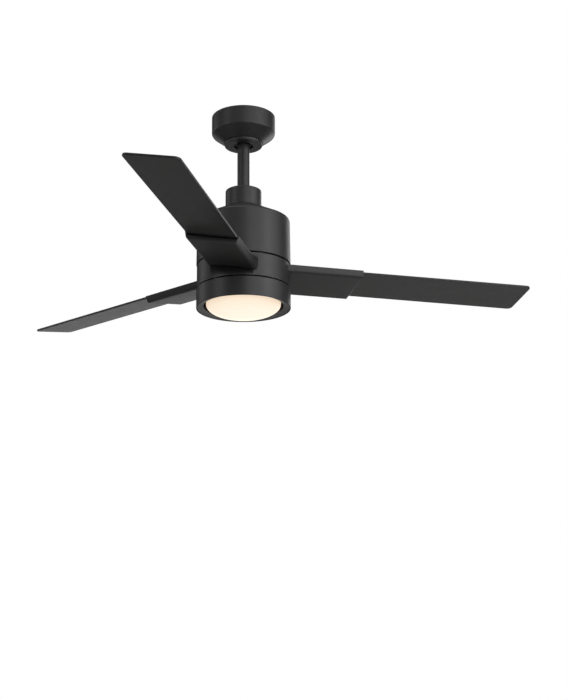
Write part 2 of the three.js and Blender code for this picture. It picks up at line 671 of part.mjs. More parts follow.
function diffuser() {
  const { radius, skirtTop, equator, drop, wall, lug } = DIFFUSER;
  const steps = 6;
  const dome = (r, depth) => Array.from({ length: steps }, (_, i) => {
    const angle = (Math.PI / 2) * (i / steps);
    return [r * Math.cos(angle), equator - depth * Math.sin(angle)];
  });
  const bowl = turned([
    [0, equator - drop], ...dome(radius, drop).reverse(), [radius, skirtTop],
    [radius - wall, skirtTop], ...dome(radius - wall, drop - wall), [0, equator - drop + wall],
  ], FINE);
  const lugBottom = SHELF.top + GAP;
  return join(bowl, ...lugArcs(radius - 1, lug, lugBottom, lugBottom + LUG_HEIGHT, 18, 0));
}

add("light_plate", lightPlate(), zincSteel);
add("shaft_nut", shaftNut(), zincSteel);
add("lower_ring", lowerRing(), blackPaint);
for (const [i, [x, y]] of onCircle(LOWER_RING.flangeHole, 3, 30).entries()) {
  const fastener = screw(3.6, 2, 2, 7).rotateX(Math.PI);
  add(`ring_screw_${i + 1}`, fastener, zincSteel).position.set(x, y, LOWER_RING.flangeTop - 2 - GAP);
}
add("light_pan", lightPan(), blackPaint);
add("led_heatsink", heatsink(), aluminium);
add("led_driver", box([-23, 23], [20, 44], [-419.2, -409.5]), blackPlastic);
add("led_board", ring(6, LED_BOARD.radius, LED_BOARD.bottom, LED_BOARD.top, FINE), whiteBoard);
add("diffuser", diffuser(), opal);

export default fan;
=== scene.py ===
"""Ceiling fan with light: fine meshes, materials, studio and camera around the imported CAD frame."""

import json
import math

import bmesh
import bpy
from mathutils import Matrix, Vector


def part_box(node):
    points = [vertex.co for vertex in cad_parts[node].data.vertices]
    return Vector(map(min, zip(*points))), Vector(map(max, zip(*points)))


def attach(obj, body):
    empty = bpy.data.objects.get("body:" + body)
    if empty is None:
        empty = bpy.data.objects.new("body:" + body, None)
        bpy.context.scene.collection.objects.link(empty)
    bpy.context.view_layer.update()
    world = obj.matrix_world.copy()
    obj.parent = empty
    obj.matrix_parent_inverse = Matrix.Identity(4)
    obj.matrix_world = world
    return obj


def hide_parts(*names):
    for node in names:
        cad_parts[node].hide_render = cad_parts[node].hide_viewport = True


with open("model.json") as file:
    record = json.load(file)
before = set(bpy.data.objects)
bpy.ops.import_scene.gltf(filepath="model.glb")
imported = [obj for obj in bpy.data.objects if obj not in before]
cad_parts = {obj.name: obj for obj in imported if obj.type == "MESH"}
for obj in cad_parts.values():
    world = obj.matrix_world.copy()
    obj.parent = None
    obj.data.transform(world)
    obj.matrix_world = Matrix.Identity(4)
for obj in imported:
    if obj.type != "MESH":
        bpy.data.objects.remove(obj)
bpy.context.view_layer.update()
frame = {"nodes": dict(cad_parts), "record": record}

# ------------------------------------------------------------------ dimensions
# Millimetres, and metres where MM multiplies them and for the camera and the floor. Z is 0 at the ceiling.
MM = 0.001
ROUND = 192  # sides of the large turned shells
WALL = 1.6 * MM

BLADES = 3
FIRST_BLADE = math.radians(15.84)
BLADE_PLANE = -371 * MM  # underside of the blades at the fan's axis
PITCH = math.radians(10.3)
RISE = math.radians(0.44)
BLADE = {"root": 150, "tip": 660.4, "root_width": 105.4, "tip_width": 109.4, "thickness": 4.5, "corner": 11}
ARM = {"end": 255.4, "skew": math.radians(1), "high": 58.5, "low": 55.2, "foot_high": 53, "foot_low": 51.5,
       "below": 10.6, "lip": 5.5, "roll": 7, "nose": 11, "nose_at": 94}
ARM_PLATE_START = 60  # the plate is drawn from here, inside the band, and cut back to it
ARM_LOW_TOP = {"at_hub": 2, "hub_x": 90}  # the low side's top edge falls towards the band
ARM_RELIEF = {"depth": 2.2, "length": 6}  # shadow gap under the blade at the arm's outer end
ARM_FLANGE = {"inner": 52, "half_width": 30, "top": -356.8, "bottom": -362, "web_bottom": -375, "outer": 98.5}
BLADE_SCREWS = ((172, -28), (172, 28), (228, 0))
PAN = {"hole": 86.2, "hole_z": -440, "sheet": 1.5}
SHELF = {"inner": 81.2, "top": -431.5, "sheet": 1.5}  # inside the pan, carries the diffuser's lugs
NOTCH = {"inner": 79, "outer": 84.4, "spread": 24, "bearing": 25}  # lets a lug through the shelf
LUG = {"inner": 79.5, "outer": 83.7, "spread": 18, "height": 2.4, "clearance": 0.3}
LUGS = 3
OPAL = {"radius": 80.5, "equator": -436.2, "wall": 2.4, "edge": 0.4}
OPAL_FADE = {"from": -434, "to": -431}  # the skirt above the shelf glows less

CAMERA_AT = Vector((0.0, -2.8505, -1.3111))
CAMERA_TILT = math.radians(15.195)  # upwards from level
CAMERA_LENS = 71.23
CAMERA_SHIFT = 0.0579  # the fan's axis stands left of the middle of the frame
FLOOR_Z = -2.45
FLOOR_REACH = 30
AMBIENT = 0.02  # soft light from all round, against a backdrop of 1.0


def span(node):
    """Radius, bottom and top of a turned CAD node."""
    low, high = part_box(node)
    return max(high.x, -low.x), low.z, high.z


# ------------------------------------------------------------------ mesh tools
def fillet(profile, steps=5):
    """Rounds the corners of a closed profile of (radius, z, corner radius)."""
    rounded = []
    count = len(profile)
    for i, (r, z, corner) in enumerate(profile):
        here = Vector((r, z))
        if corner <= 0:
            rounded.append(here)
            continue
        before = Vector(profile[i - 1][:2]) - here
        after = Vector(profile[(i + 1) % count][:2]) - here
        half = before.angle(after) / 2
        reach = min(corner / math.tan(half), 0.49 * before.length, 0.49 * after.length)
        start, end = here + before.normalized() * reach, here + after.normalized() * reach
        for k in range(steps + 1):
            t = k / steps
            rounded.append((1 - t) ** 2 * start + 2 * t * (1 - t) * here + t * t * end)
    return rounded


def new_object(name, bm, sharp=30):
    bmesh.ops.recalc_face_normals(bm, faces=bm.faces)
    mesh = bpy.data.meshes.new(name)
    bm.to_mesh(mesh)
    bm.free()
    return as_object(name, mesh, sharp)


def as_object(name, mesh, sharp=30):
    mesh.shade_smooth()
    mesh.set_sharp_from_angle(angle=math.radians(sharp))
    obj = bpy.data.objects.new(name, mesh)
    bpy.context.scene.collection.objects.link(obj)
    return obj


def lathe(name, profile, sides=ROUND):
    """Turns a closed profile of (radius, z) points about the Z axis."""
    bm = bmesh.new()
    rings = []
    for r, z in profile:
        if r < 1e-7:
            rings.append([bm.verts.new((0, 0, z))])
            continue
        angles = [2 * math.pi * k / sides for k in range(sides)]
        rings.append([bm.verts.new((r * math.cos(a), r * math.sin(a), z)) for a in angles])
    on_axis = len(rings[0]) == 1
    pairs = list(zip(rings, rings[1:])) if on_axis else list(zip(rings, rings[1:] + rings[:1]))
    for lower, upper in pairs:
        for k in range(sides):
            n = (k + 1) % sides
            corners = [lower[k % len(lower)], lower[n % len(lower)]]
            corners += [upper[n % len(upper)], upper[k % len(upper)]]
            unique = list(dict.fromkeys(corners))
            if len(unique) > 2:
                bm.faces.new(unique)
    obj = new_object(name, bm)
    weighted_normals(obj)
    return obj


def weighted_normals(obj):
    modifier = obj.modifiers.new("weighted normals", "WEIGHTED_NORMAL")
    modifier.keep_sharp = True


def prism(name, outline, bottom, top):
    """Extrudes a flat outline of (x, y) points between two heights."""
    bm = bmesh.new()
    lower = [bm.verts.new((x, y, bottom)) for x, y in outline]
    upper = [bm.verts.new((x, y, top)) for x, y in outline]
    bm.faces.new(lower)
    bm.faces.new(upper)
    for k in range(len(outline)):
        n = (k + 1) % len(outline)
        bm.faces.new((lower[k], lower[n], upper[n], upper[k]))
    return new_object(name, bm)


def arc(cx, cy, radius, start, end, steps):
    angles = [math.radians(start + (end - start) * k / steps) for k in range(steps + 1)]
    return [(cx + radius * math.cos(a), cy + radius * math.sin(a)) for a in angles]


def circle(cx, cy, radius, sides=32):
    return arc(cx, cy, radius, 0, 360 * (sides - 1) / sides, sides - 1)


def boolean(target, tool, operation):
    """Cuts, keeps or joins with an exact boolean, applied at once; the tool is used up."""
    modifier = target.modifiers.new("boolean", "BOOLEAN")
    modifier.operation = operation
    modifier.solver = "EXACT"
    modifier.object = tool
    bpy.context.view_layer.update()
    depsgraph = bpy.context.evaluated_depsgraph_get()
    mesh = bpy.data.meshes.new_from_object(target.evaluated_get(depsgraph))
    target.modifiers.remove(modifier)
    target.data = mesh
    bpy.data.objects.remove(tool)
    return target


def soft_edges(obj, width, angle=35, segments=3):
    modifier = obj.modifiers.new("soft edges", "BEVEL")
    modifier.width = width
    modifier.segments = segments
    modifier.limit_method = "ANGLE"
    modifier.angle_limit = math.radians(angle)
    modifier.harden_normals = True
    modifier.use_clamp_overlap = True


def place(obj, matrix):
    obj.data.transform(matrix)
    return obj


def scaled(points):
    return [(x * MM, y * MM) for x, y in points]


def block(name, x, y, z):
    return prism(name, scaled([(x[0], y[0]), (x[1], y[0]), (x[1], y[1]), (x[0], y[1])]), z[0] * MM, z[1] * MM)


def lay_down(obj):
    """Turns a prism drawn as (y, z) and extruded along Z so that it runs along X."""
    return place(obj, Matrix(((0, 0, 1, 0), (1, 0, 0, 0), (0, 1, 0, 0), (0, 0, 0, 1))))


def stand_up(obj):
    """Turns a prism drawn as (x, z) and extruded along Z so that it runs along Y."""
    return place(obj, Matrix(((1, 0, 0, 0), (0, 0, 1, 0), (0, 1, 0, 0), (0, 0, 0, 1))))


def rounded(corners, steps=8):
    """An outline of (x, y, corner radius) with its corners rounded, in metres."""
    return [tuple(point * MM) for point in fillet(corners, steps)]


# ------------------------------------------------------------------ materials
class Nodes:
    """A short hand for building one material's node tree."""

    def __init__(self, name):
        self.material = bpy.data.materials.new(name)
        self.material.use_nodes = True
        self.tree = self.material.node_tree
        self.shader = self.tree.nodes["Principled BSDF"]
        self.coords = self.add("ShaderNodeTexCoord").outputs["Object"]

    def add(self, kind, **settings):
        node = self.tree.nodes.new(kind)
        for key, value in settings.items():
            setattr(node, key, value)
        return node

    def link(self, output, socket):
        self.tree.links.new(output, socket)

    def noise(self, scale, detail=3, roughness=0.55, stretch=None):
        node = self.add("ShaderNodeTexNoise")
        node.inputs["Scale"].default_value = scale
        node.inputs["Detail"].default_value = detail
        node.inputs["Roughness"].default_value = roughness
        source = self.coords
        if stretch:
            mapping = self.add("ShaderNodeMapping")
            mapping.inputs["Scale"].default_value = stretch
            self.link(source, mapping.inputs["Vector"])
            source = mapping.outputs["Vector"]
        self.link(source, node.inputs["Vector"])
        return node.outputs["Fac"]

    def ramp(self, value, low, high, low_colour, high_colour):
        node = self.add("ShaderNodeValToRGB")
        node.color_ramp.elements[0].position = low
        node.color_ramp.elements[1].position = high
        node.color_ramp.elements[0].color = (*low_colour, 1)
        node.color_ramp.elements[1].color = (*high_colour, 1)
        self.link(value, node.inputs["Fac"])
        return node.outputs["Color"]

    def spread(self, value, low, high):
        node = self.add("ShaderNodeMapRange")
        node.inputs["From Min"].default_value = 0.3
        node.inputs["From Max"].default_value = 0.7
        node.inputs["To Min"].default_value = low
        node.inputs["To Max"].default_value = high
        self.link(value, node.inputs["Value"])
        return node.outputs["Result"]

    def bump(self, height, depth, strength=1.0, under=None):
        node = self.add("ShaderNodeBump")
        node.inputs["Distance"].default_value = depth
        node.inputs["Strength"].default_value = strength
        self.link(height, node.inputs["Height"])
        if under:
            self.link(under, node.inputs["Normal"])
        return node.outputs["Normal"]

    def put(self, **sockets):
        for name, value in sockets.items():
            socket = self.shader.inputs[name.replace("_", " ")]
            if isinstance(value, bpy.types.NodeSocket):
                self.link(value, socket)
            else:
                socket.default_value = value
        return self.material


def black_paint():
    n = Nodes("black powder coat")
    patches = n.noise(14, 2)
    grain = n.noise(1500, 2, 0.6)
    waves = n.noise(420, 2, 0.5)
    tone = n.ramp(patches, 0.3, 0.7, (0.018, 0.018, 0.0185), (0.021, 0.021, 0.0215))
    skin = n.bump(grain, 0.00002, 0.7, n.bump(waves, 0.00004, 0.5))
    return n.put(Base_Color=tone, Roughness=n.spread(grain, 0.4, 0.5), Normal=skin, Specular_IOR_Level=0.5)


def painted_lamp_light_paint():
    """Painted lamp light: the same paint on the faces round the lamp, given a lighter colour for the lamp's
    light that spills over them.
    """
    n = Nodes("black paint with painted lamp light")
    grain = n.noise(1500, 2, 0.6)
    tone = n.ramp(grain, 0.3, 0.7, (0.1, 0.105, 0.115), (0.12, 0.125, 0.135))
    return n.put(Base_Color=tone, Roughness=0.45, Normal=n.bump(grain, 0.00002, 0.7))


def painted_gap_shade_paint():
    """Painted shade: the same paint made near black and dull in the gap beside the lamp, where shade falls.
    """
    n = Nodes("black paint with painted shade in the lamp gap")
    grain = n.noise(1500, 2, 0.6)
    tone = n.ramp(grain, 0.3, 0.7, (0.005, 0.005, 0.005), (0.007, 0.007, 0.007))
    return n.put(Base_Color=tone, Roughness=0.9, Specular_IOR_Level=0.05, Normal=n.bump(grain, 0.00002, 0.7))


def blade_film():
    n = Nodes("blade black film")
    streaks = n.noise(60, 4, 0.6)
    grain = n.noise(2200, 2, 0.6)
    tone = n.ramp(streaks, 0.3, 0.7, (0.011, 0.011, 0.0113), (0.014, 0.014, 0.0143))
    return n.put(Base_Color=tone, Roughness=n.spread(streaks, 0.38, 0.44), Normal=n.bump(grain, 0.00001, 0.5))


def plated_steel():
    n = Nodes("zinc plated steel")
    brushed = n.noise(300, 3, 0.6, (1, 12, 1))
    spangle = n.noise(120, 2)
    tone = n.ramp(spangle, 0.35, 0.65, (0.52, 0.53, 0.55), (0.66, 0.67, 0.69))
    return n.put(Base_Color=tone, Metallic=1.0, Roughness=n.spread(brushed, 0.26, 0.42),
                 Normal=n.bump(brushed, 0.00002, 0.5))


def black_oxide():
    n = Nodes("black oxide")
    mottle = n.noise(900, 3)
    tone = n.ramp(mottle, 0.3, 0.7, (0.018, 0.018, 0.02), (0.03, 0.03, 0.033))
    return n.put(Base_Color=tone, Metallic=0.4, Roughness=n.spread(mottle, 0.3, 0.42))


def cast_aluminium():
    n = Nodes("cast aluminium")
    sand = n.noise(700, 4, 0.7)
    tone = n.ramp(sand, 0.3, 0.7, (0.5, 0.51, 0.53), (0.62, 0.63, 0.65))
    return n.put(Base_Color=tone, Metallic=1.0, Roughness=n.spread(sand, 0.38, 0.55),
                 Normal=n.bump(sand, 0.00008, 0.5))


def bearing_steel():
    n = Nodes("ground bearing steel")
    turned = n.noise(500, 2, 0.5, (1, 1, 20))
    return n.put(Base_Color=n.ramp(turned, 0.3, 0.7, (0.66, 0.67, 0.69), (0.76, 0.77, 0.79)), Metallic=1.0,
                 Roughness=n.spread(turned, 0.14, 0.24))


def laminations():
    n = Nodes("stacked laminations")
    sheets = n.add("ShaderNodeTexWave", wave_type="BANDS", bands_direction="Z")
    sheets.inputs["Scale"].default_value = 320
    n.link(n.coords, sheets.inputs["Vector"])
    tone = n.ramp(sheets.outputs["Fac"], 0.1, 0.9, (0.1, 0.1, 0.11), (0.26, 0.27, 0.29))
    return n.put(Base_Color=tone, Metallic=1.0, Roughness=0.45,
                 Normal=n.bump(sheets.outputs["Fac"], 0.0001, 0.5))


def copper_wire():
    n = Nodes("enamelled copper")
    turns = n.add("ShaderNodeTexWave", wave_type="BANDS", bands_direction="Z")
    turns.inputs["Scale"].default_value = 220
    n.link(n.coords, turns.inputs["Vector"])
    tone = n.ramp(turns.outputs["Fac"], 0.1, 0.8, (0.24, 0.08, 0.03), (0.66, 0.27, 0.11))
    return n.put(Base_Color=tone, Metallic=0.8, Roughness=0.32,
                 Normal=n.bump(turns.outputs["Fac"], 0.0002, 0.7))


def ferrite():
    n = Nodes("sintered ferrite")
    grain = n.noise(900, 4)
    return n.put(Base_Color=n.ramp(grain, 0.3, 0.7, (0.05, 0.05, 0.055), (0.09, 0.09, 0.1)),
                 Roughness=n.spread(grain, 0.6, 0.8), Normal=n.bump(grain, 0.00005, 0.6))


def black_plastic():
    n = Nodes("moulded black plastic")
    spark = n.noise(1200, 3, 0.7)
    return n.put(Base_Color=n.ramp(spark, 0.3, 0.7, (0.016, 0.016, 0.017), (0.022, 0.022, 0.023)),
                 Roughness=n.spread(spark, 0.42, 0.56), Normal=n.bump(spark, 0.00003, 0.6))


def board_white():
    n = Nodes("white solder mask")
    mask = n.noise(300, 2)
    return n.put(Base_Color=n.ramp(mask, 0.3, 0.7, (0.8, 0.81, 0.78), (0.88, 0.89, 0.86)),
                 Roughness=n.spread(mask, 0.35, 0.45))


def opal_acrylic():
    """Opal acrylic lit from inside: brightest in the middle, warmer and dimmer towards the rim."""
    n = Nodes("lit opal acrylic")
    radius, _, _ = span("diffuser")
    flat = n.add("ShaderNodeVectorMath", operation="MULTIPLY")
    n.link(n.coords, flat.inputs[0])
    flat.inputs[1].default_value = (1, 1, 0)
    length = n.add("ShaderNodeVectorMath", operation="LENGTH")
    n.link(flat.outputs["Vector"], length.inputs[0])
    share = n.add("ShaderNodeMapRange")
    share.inputs["From Max"].default_value = radius
    n.link(length.outputs["Value"], share.inputs["Value"])
    glow = n.add("ShaderNodeValToRGB")
    stops = glow.color_ramp.elements
    stops[0].position = 0.2
    stops[0].color = (0.97, 0.91, 0.755, 1)
    stops[1].position = 1.0
    stops[1].color = (0.9, 0.7, 0.52, 1)
    stops.new(0.65).color = (0.965, 0.86, 0.695, 1)
    stops.new(0.88).color = (0.95, 0.8, 0.63, 1)
    n.link(share.outputs["Result"], glow.inputs["Fac"])
    split = n.add("ShaderNodeSeparateXYZ")
    n.link(n.coords, split.inputs["Vector"])
    skirt = n.add("ShaderNodeMapRange")  # the skirt is beside the lamps, not under them
    skirt.inputs["From Min"].default_value = OPAL_FADE["from"] * MM
    skirt.inputs["From Max"].default_value = OPAL_FADE["to"] * MM
    skirt.inputs["To Min"].default_value = 0.95
    skirt.inputs["To Max"].default_value = 0.15
    n.link(split.outputs["Z"], skirt.inputs["Value"])
    cloud = n.noise(40, 2)
    n.put(Base_Color=n.ramp(cloud, 0.3, 0.7, (0.2, 0.19, 0.18), (0.24, 0.23, 0.22)),
          Roughness=n.spread(cloud, 0.34, 0.4), Emission_Color=glow.outputs["Color"],
          Emission_Strength=skirt.outputs["Result"])
    return n.material


MATERIALS = {
    "black_paint": black_paint(),
    "arm_paint": black_paint(),
    "blade_finish": blade_film(),
    "zinc_steel": plated_steel(),
    "black_screw": black_oxide(),
    "cast_aluminium": cast_aluminium(),
    "bearing_steel": bearing_steel(),
    "motor_laminations": laminations(),
    "copper_winding": copper_wire(),
    "ferrite_magnet": ferrite(),
    "black_plastic": black_plastic(),
    "led_board": board_white(),
    "opal_diffuser": opal_acrylic(),
}

# the black paint made lighter, as painted lamp light
PAINTED_LAMP_LIGHT = painted_lamp_light_paint()
# the black paint made near black, as painted shade
PAINTED_GAP_SHADE = painted_gap_shade_paint()

for part in frame["record"]["subparts"]:
    mesh = frame["nodes"][part["node"]].data
    mesh.materials.clear()
    mesh.materials.append(MATERIALS[part["material_slot"]])


def paint_faces(obj, material, choose):
    """Gives another material to the faces whose centre and normal pass a test."""
    obj.data.materials.append(material)
    for face in obj.data.polygons:
        if choose(face.center, face.normal):
            face.material_index = len(obj.data.materials) - 1


def finish_piece(obj, slot, body, *nodes):
    """Paints a piece, puts it on its body and hides the CAD nodes that it stands for."""
    obj.data.materials.clear()
    obj.data.materials.append(MATERIALS[slot])
    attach(obj, body)
    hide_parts(*nodes)


# ------------------------------------------------------------------ ceiling end
def canopy_shell():
    radius, bottom, top = span("canopy")
    lip, hole = 43 * MM, 24 * MM
    shoulder = top - 40.2 * MM
    profile = fillet([
        (hole, bottom, 0.3 * MM), (lip, bottom, 1.5 * MM), (radius, shoulder, 7 * MM),
        (radius, top, 0.5 * MM), (radius - WALL, top, 0.4 * MM),
        (radius - WALL, shoulder + 0.7 * MM, 5.5 * MM), (lip - 0.6 * MM, bottom + WALL, 1 * MM),
        (hole, bottom + WALL, 0.3 * MM),
    ], 8)
    finish_piece(lathe("canopy_shell", profile), "black_paint", "ceiling_mount", "canopy")


def trim_ring():
    radius, bottom, top = span("canopy_trim_ring")
    hole = 21.5 * MM
    profile = fillet([
        (hole, bottom, 0.4 * MM), (radius, bottom, 1.4 * MM), (radius, top, 0.3 * MM),
        (radius - 2 * MM, top, 0.3 * MM), (radius - 2 * MM, bottom + WALL, 0.5 * MM),
        (hole, bottom + WALL, 0.4 * MM),
    ])
    finish_piece(lathe("trim_ring", profile), "black_paint", "ceiling_mount", "canopy_trim_ring")


def bracket_strap():
    """The bent steel strap: a rounded loop under a flat plate that reaches out to the box screws."""
    low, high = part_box("hanger_bracket")
    length, width, depth = high.x / MM, high.y / MM, -low.z / MM
    sheet, leg, cradle_hole = 2.5, 36.5, 17
    box_screw_x, slot_radius, slot_half = 44.45, 2.4, 2.6
    wire_x, wire_radius = 21, 12
    canopy_screw_x, canopy_screw_radius = 32, 2.4
    outer, top, bottom = leg + sheet, high.z / MM, low.z / MM
    across = (-width * MM, width * MM)

    def loop(half, lower, upper, corner):
        below = [(-half, lower, corner), (half, lower, corner)]
        return rounded(below + [(half, upper, corner), (-half, upper, corner)])

    strap = stand_up(prism("bracket_strap", loop(outer, bottom, top, 3.5), *across))
    hollow = stand_up(prism("hollow", loop(leg, bottom + sheet, top - sheet, 1.5), -60 * MM, 60 * MM))
    boolean(strap, hollow, "DIFFERENCE")
    plate = rounded([(-length, -width, 5), (length, -width, 5), (length, width, 5), (-length, width, 5)])
    boolean(strap, prism("plate", plate, (top - sheet) * MM, top * MM), "UNION")
    ball_low, ball_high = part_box("hanger_ball")
    ball_z = (ball_low.z + ball_high.z) / 2 / MM
    boolean(strap, block("key", (19.5, leg + 1), (-2.5, 2.5), (ball_z - 2, ball_z + 2)), "UNION")
    cradle = prism("cradle", circle(0, 0, cradle_hole * MM, 96), (bottom - 1) * MM, (bottom + sheet + 1) * MM)
    boolean(strap, cradle, "DIFFERENCE")
    for side in (-1, 1):
        slot = arc(side * box_screw_x, slot_half, slot_radius, 0, 180, 12)
        slot += arc(side * box_screw_x, -slot_half, slot_radius, 180, 360, 12)
        boolean(strap, prism("slot", scaled(slot), -depth / 2 * MM, 1 * MM), "DIFFERENCE")
        wires = circle(side * wire_x * MM, 0, wire_radius * MM, 64)
        boolean(strap, prism("wires", wires, -(sheet + 1) * MM, 1 * MM), "DIFFERENCE")
        screw = circle(side * canopy_screw_x * MM, 0, canopy_screw_radius * MM)
        boolean(strap, prism("screw", screw, (bottom - 1) * MM, (bottom + sheet + 1) * MM), "DIFFERENCE")
    soft_edges(strap, 0.35 * MM)
    finish_piece(strap, "zinc_steel", "ceiling_mount", "hanger_bracket")


def receiver_case():
    low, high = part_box("receiver_module")
    near, far, half = low.x / MM, high.x / MM, high.y / MM
    outline = rounded([(near, -half, 1), (far, -half, 4), (far, half, 4), (near, half, 1)])
    case = prism("receiver_case", outline, low.z, high.z)
    soft_edges(case, 1.2 * MM, segments=4)
    finish_piece(case, "black_plastic", "ceiling_mount", "receiver_module")


def ball_joint():
    low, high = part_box("hanger_ball")
    radius, centre = high.x, (low.z + high.z) / 2
    bore, key_radius, pin_radius = 13.9 * MM, 3.8 * MM, 3.3 * MM
    pin_z, pin_half = -30 * MM, 30 * MM
    reach = math.degrees(math.acos(bore / radius))
    profile = arc(0, centre, radius, -reach, reach, 40)
    ball = lathe("ball_joint", profile, 96)
    along_x = Matrix.Rotation(math.pi / 2, 4, "Y")
    along_y = Matrix.Rotation(math.pi / 2, 4, "X")
    key = place(prism("key", circle(0, 0, key_radius), -5 * MM, 5 * MM), along_x)
    place(key, Matrix.Translation((radius + 1.5 * MM, 0, centre)))
    boolean(ball, key, "DIFFERENCE")
    pin = place(prism("pin", circle(0, 0, pin_radius), -pin_half, pin_half), along_y)
    place(pin, Matrix.Translation((0, 0, pin_z)))
    boolean(ball, pin, "DIFFERENCE")
    finish_piece(ball, "black_plastic", "hanging_frame", "hanger_ball")


# ------------------------------------------------------------------ downrod, coupling and housing
def rod_tube():
    radius, bottom, top = span("downrod")
    bore = 10.9 * MM
    profile = fillet([
        (bore, bottom, 0.3 * MM), (radius, bottom, 0.5 * MM), (radius, top, 0.5 * MM), (bore, top, 0.3 * MM),
    ])
    finish_piece(lathe("rod_tube", profile, 96), "black_paint", "hanging_frame", "downrod")


def coupling_cup():
    radius, bottom, top = span("coupling_cover")
    hole = 14.2 * MM
    profile = fillet([
        (radius - WALL, bottom, 0.4 * MM), (radius, bottom, 0.6 * MM), (radius, top, 2.4 * MM),
        (hole, top, 0.5 * MM), (hole, top - WALL, 0.4 * MM), (radius - WALL, top - WALL, 1.2 * MM),
    ], 6)
    finish_piece(lathe("coupling_cup", profile), "black_paint", "hanging_frame", "coupling_cover")


def housing_shell():
    radius, bottom, top = span("upper_housing")
    top_radius, hole, neck = 101.3 * MM, 22 * MM, 39.5 * MM
    rim = top - 31.5 * MM
    profile = fillet([
        (radius, bottom, 0.6 * MM), (top_radius, rim, 5.5 * MM), (neck, top, 1.5 * MM), (hole, top, 0.5 * MM),
        (hole, top - WALL, 0.4 * MM), (neck, top - WALL, 1 * MM), (top_radius - WALL, rim - WALL, 4 * MM),
        (radius - WALL, bottom, 0.4 * MM),
    ], 8)
    finish_piece(lathe("housing_shell", profile), "black_paint", "hanging_frame", "upper_housing")


# ------------------------------------------------------------------ blades, arms and band
def blade_angle(index):
    return FIRST_BLADE + 2 * math.pi * index / BLADES


def pitched(index):
    """From a blade drawn flat along +X, underside at z = 0, to its place on the fan."""
    turn = Matrix.Rotation(blade_angle(index), 4, "Z")
    return (turn @ Matrix.Translation((0, 0, BLADE_PLANE)) @ Matrix.Rotation(-RISE, 4, "Y")
            @ Matrix.Rotation(-PITCH, 4, "X"))


def half_width(s):
    share = (s - BLADE["root"]) / (BLADE["tip"] - BLADE["root"])
    return (BLADE["root_width"] + share * (BLADE["tip_width"] - BLADE["root_width"])) / 2


def blade_panel(index):
    root, tip, corner = BLADE["root"], BLADE["tip"], BLADE["corner"]
    near, far = half_width(root), half_width(tip)
    outline = [(root, -near)]
    outline += arc(tip - corner, -far + corner, corner, -90, 0, 12)
    outline += arc(tip - corner, far - corner, corner, 0, 90, 12)
    outline.append((root, near))
    panel = prism(f"blade_panel_{index + 1}", scaled(outline), 0, BLADE["thickness"] * MM)
    soft_edges(panel, 1.1 * MM)
    place(panel, pitched(index))
    finish_piece(panel, "blade_finish", "rotor", f"blade_{index + 1}")


def arm_plate(grow, hollow=False):
    """The arm's plate where three prisms meet: its section across the blade, its plan and its side."""
    high, low, end, roll = ARM["high"] + grow, ARM["low"] + grow, ARM["end"], ARM["roll"]
    top, bottom = ARM["lip"] + grow, -ARM["below"] - grow
    foot_high, foot_low = ARM["foot_high"] + grow, ARM["foot_low"] + grow
    start, past, edge = ARM_PLATE_START, end + 10, 0.8
    feet = [(-foot_high, bottom, roll), (foot_low, bottom, roll)]
    section = rounded([(-high, top, edge), *feet, (low, top, edge)])
    beam = lay_down(prism("beam", section, start * MM, past * MM))
    nose, reach = ARM["nose"], ARM["nose_at"]
    plan = [(start, -high - 10), (past, -high - 10), (past, low + 10), (reach, low + 10)]
    plan += arc(reach, ARM["low"] - nose, nose + grow, 90, 180, 16)
    plan.append((start, ARM["low"] - nose))
    boolean(beam, prism("plan", scaled(plan), -30 * MM, 20 * MM), "INTERSECT")
    side = rounded([(start - 10, -30, 0), (start - 10, 20, 0), (end, 20, 0), (end, -ARM["below"], roll * 0.8),
                    (end - 30, -ARM["below"], 0), (end - 30, -30, 0)])
    ends = stand_up(prism("side", side, -80 * MM, 80 * MM))
    place(ends, Matrix.Rotation(ARM["skew"], 4, "Z"))
    boolean(beam, ends, "INTERSECT")
    if hollow:
        pocket = half_width(end) + 0.3
        across = (-pocket, pocket)
        boolean(beam, block("pocket", (BLADE["root"] - 0.5, past), across, (-0.05, 20)), "DIFFERENCE")
        relief = block("relief", (end - ARM_RELIEF["length"], past), across, (-ARM_RELIEF["depth"], 1))
        boolean(beam, relief, "DIFFERENCE")
        fall, hub_x = ARM_LOW_TOP["at_hub"], ARM_LOW_TOP["hub_x"]
        wedge = scaled([(0, fall), (hub_x, fall), (end, ARM["lip"]), (end, 30), (0, 30)])
        boolean(beam, stand_up(prism("wedge", wedge, 20 * MM, 80 * MM)), "DIFFERENCE")
    return beam


def arm_casting(index):
    name = f"arm_casting_{index + 1}"
    arm = arm_plate(0, hollow=True)
    place(arm, Matrix.Rotation(-blade_angle(index), 4, "Z") @ pitched(index))
    below_hub, above_hub = -420 * MM, -330 * MM
    hub = prism("hub", circle(0, 0, ARM_FLANGE["outer"] * MM, 96), below_hub, above_hub)
    boolean(arm, hub, "DIFFERENCE")
    arm.name = name
    arm.data.name = name
    across = (-ARM_FLANGE["half_width"], ARM_FLANGE["half_width"])
    outer = ARM_FLANGE["outer"] + 0.3
    flange = block("flange", (ARM_FLANGE["inner"], outer), across, (ARM_FLANGE["bottom"], ARM_FLANGE["top"]))
    web = block("web", (88, outer), across, (ARM_FLANGE["web_bottom"], ARM_FLANGE["top"]))
    boolean(flange, web, "UNION")
    limit = prism("limit", circle(0, 0, outer * MM, 96), below_hub, above_hub)
    boolean(flange, limit, "INTERSECT")
    boolean(arm, flange, "UNION")
    soft_edges(arm, 0.7 * MM)
    place(arm, Matrix.Rotation(blade_angle(index), 4, "Z"))
    finish_piece(arm, "arm_paint", "rotor", f"blade_arm_{index + 1}")


